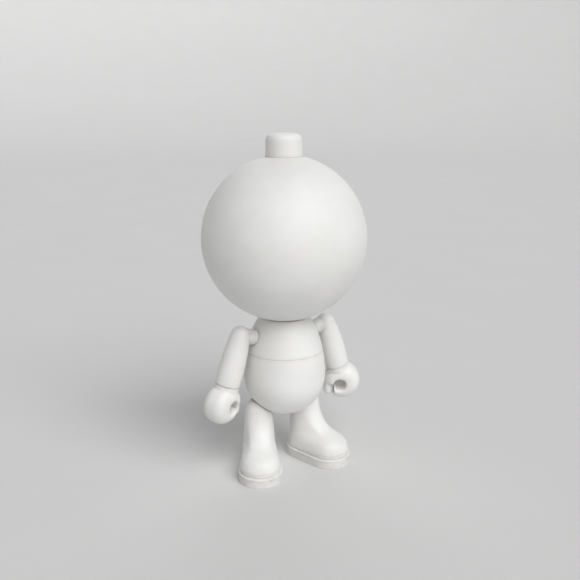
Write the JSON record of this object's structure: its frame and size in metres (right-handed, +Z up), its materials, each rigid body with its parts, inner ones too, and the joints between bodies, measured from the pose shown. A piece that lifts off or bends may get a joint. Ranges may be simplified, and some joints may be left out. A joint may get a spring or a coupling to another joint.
{
  "type": "blank vinyl art toy",
  "caption": "Blank white vinyl art figure with a ball head and round cap, egg body turning at the waist, swivelling splayed arms with ring-grip fists, and rounded boots on stepped soles.",
  "frame": {"origin": "on the floor, under the middle of the head", "axes": "+Z up, -Y the way the figure faces, +X towards the figure's left"},
  "size_m": [0.1058, 0.0958, 0.2],
  "materials": {
    "vinyl": "matt soft vinyl, unpainted white",
    "plug": "moulded hard plastic, natural white"
  },
  "bodies": {
    "belly": {"belly_shell": "vinyl"},
    "chest": {"chest_shell": "vinyl", "waist_connector": "plug"},
    "head": {"head_shell": "vinyl", "head_cap": "vinyl", "neck_connector": "plug"},
    "arm_left": {"arm_left": "vinyl", "shoulder_connector_left": "plug"},
    "hand_left": {"hand_left": "vinyl", "wrist_connector_left": "plug"},
    "leg_left": {"leg_left": "vinyl", "hip_connector_left": "plug", "sole_left": "vinyl"},
    "arm_right": {"arm_right": "vinyl", "shoulder_connector_right": "plug"},
    "hand_right": {"hand_right": "vinyl", "wrist_connector_right": "plug"},
    "leg_right": {"leg_right": "vinyl", "hip_connector_right": "plug", "sole_right": "vinyl"}
  },
  "joints": [
    {"name": "waist_turn", "type": "hinge", "parent": "belly", "child": "chest", "pos_m": [0, 0, 0.0735], "axis": [0, 0, 1], "continuous": true},
    {"name": "neck_turn", "type": "hinge", "parent": "chest", "child": "head", "pos_m": [0, 0, 0.0922], "axis": [0, 0, 1], "continuous": true},
    {"name": "shoulder_left_swing", "type": "hinge", "parent": "chest", "child": "arm_left", "pos_m": [0.0288, 0, 0.0858], "axis": [-0.9563, 0, -0.2924], "range_deg": [-108, 108]},
    {"name": "wrist_left_turn", "type": "hinge", "parent": "arm_left", "child": "hand_left", "pos_m": [0.03766, 0, 0.05682], "axis": [0.2924, 0, -0.9563], "continuous": true},
    {"name": "hip_left_turn", "type": "hinge", "parent": "belly", "child": "leg_left", "pos_m": [0.0161, 0.003, 0.035], "axis": [-0.5802, -0.1081, 0.8073], "range_deg": [-30, 45]},
    {"name": "shoulder_right_swing", "type": "hinge", "parent": "chest", "child": "arm_right", "pos_m": [-0.0288, 0, 0.0858], "axis": [-0.9563, 0, 0.2924], "range_deg": [-108, 108]},
    {"name": "wrist_right_turn", "type": "hinge", "parent": "arm_right", "child": "hand_right", "pos_m": [-0.03766, 0, 0.05682], "axis": [0.2924, 0, 0.9563], "continuous": true},
    {"name": "hip_right_turn", "type": "hinge", "parent": "belly", "child": "leg_right", "pos_m": [-0.0161, 0.003, 0.035], "axis": [-0.5802, 0.1081, -0.8073], "range_deg": [-30, 45]}
  ]
}
